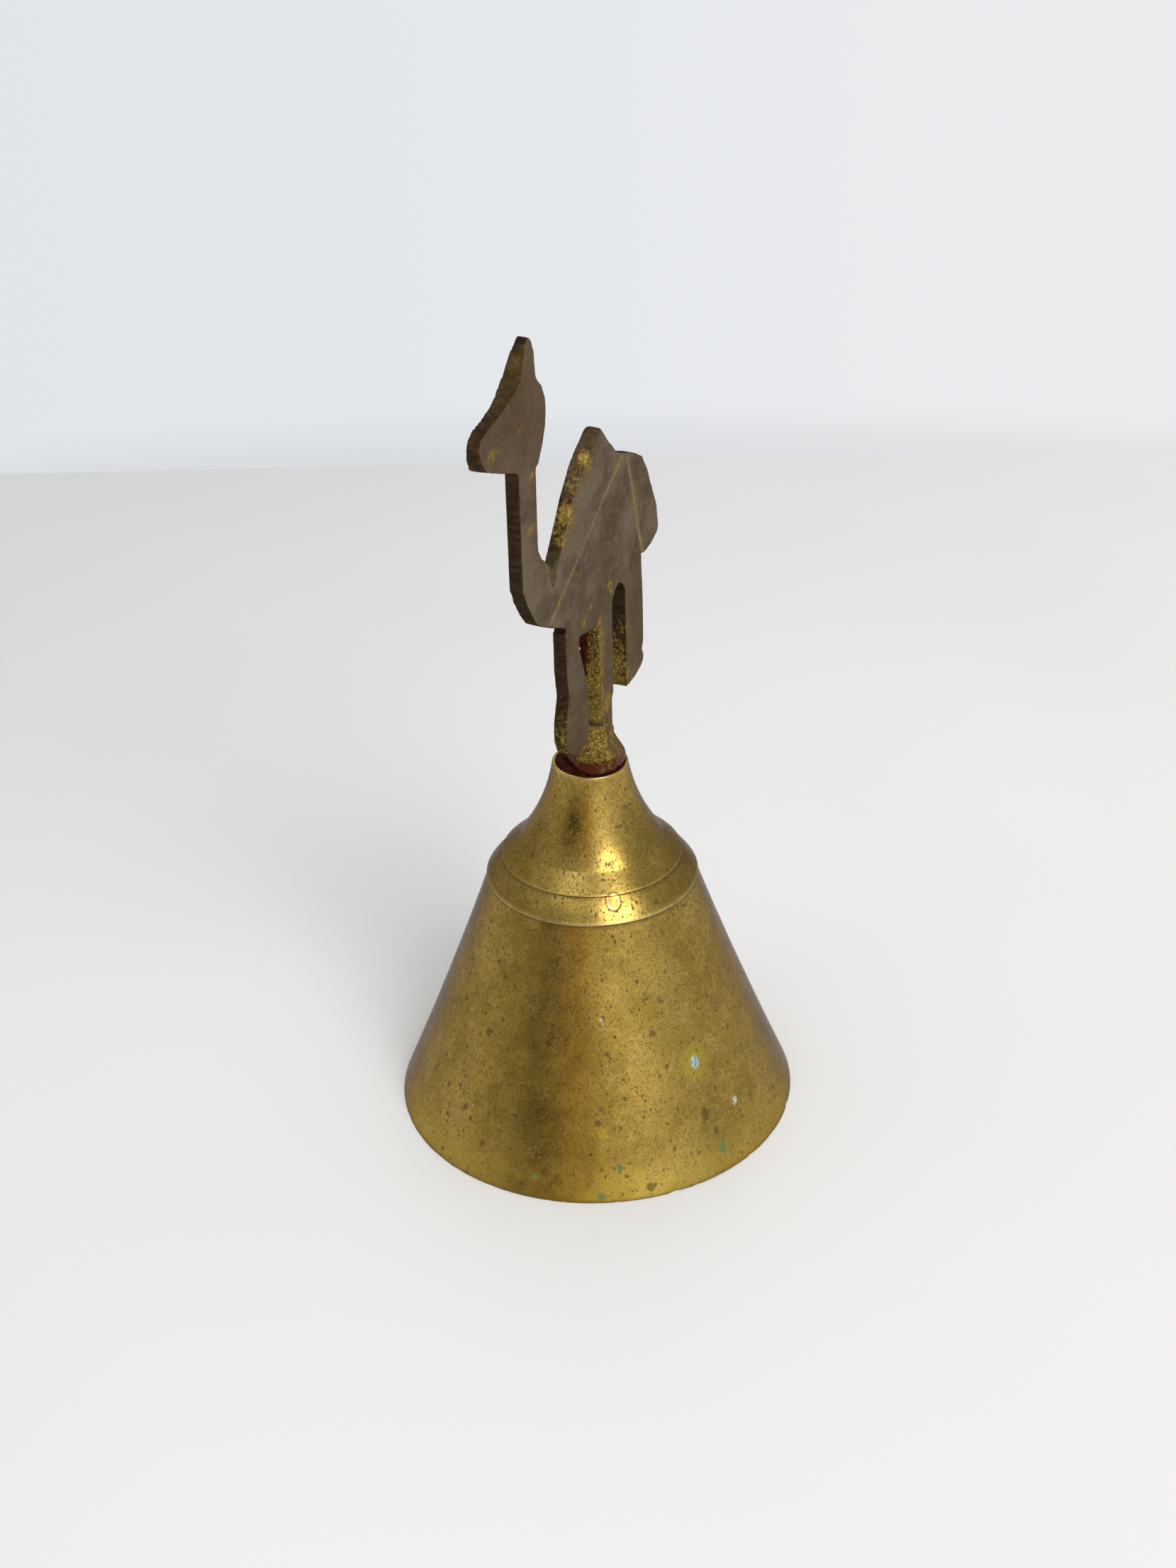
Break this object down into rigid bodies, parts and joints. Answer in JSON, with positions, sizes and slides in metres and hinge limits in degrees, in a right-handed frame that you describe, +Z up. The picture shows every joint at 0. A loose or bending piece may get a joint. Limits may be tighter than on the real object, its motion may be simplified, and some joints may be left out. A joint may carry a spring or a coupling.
{
  "type": "hand bell",
  "caption": "Conical brass hand bell with a turned band, a flared neck and a flat cast camel handle, with a clapper that hangs from a cross pin inside.",
  "frame": {"origin": "centre of the bell's mouth, in the plane that the rim stands on", "axes": "+Z up along the bell's axis to the handle; the camel stands in the XZ plane with its nose towards -X and its decorated face towards -Y"},
  "size_m": [0.063, 0.06, 0.1246],
  "materials": {
    "bell_brass": "satin, aged, finely pitted",
    "tarnished_brass": "matt grey-brown tarnish over a sand casting, rubbed bright on edges",
    "lac": "dark red-brown lac, half gloss, crumbly",
    "pin_brass": "filed flush, satin",
    "wire": "darkened wire, satin"
  },
  "bodies": {
    "bell": {"bell_cup": "bell_brass", "camel_handle": "tarnished_brass", "lac_filling": "lac", "clapper_pin": "pin_brass"},
    "link": {"hanger_link": "wire"},
    "clapper": {"clapper_wire": "wire", "clapper_ball": "bell_brass"}
  },
  "joints": [
    {"name": "link_swing", "type": "hinge", "parent": "bell", "child": "link", "pos_m": [0, 0, 0.0408], "axis": [-0.7986, -0.6018, 0], "range_deg": [-31, 31]},
    {"name": "clapper_tilt", "type": "hinge", "parent": "link", "child": "clapper", "pos_m": [0, 0, 0.03452], "axis": [0.6018, -0.7986, 0], "range_deg": [-12, 12]}
  ]
}
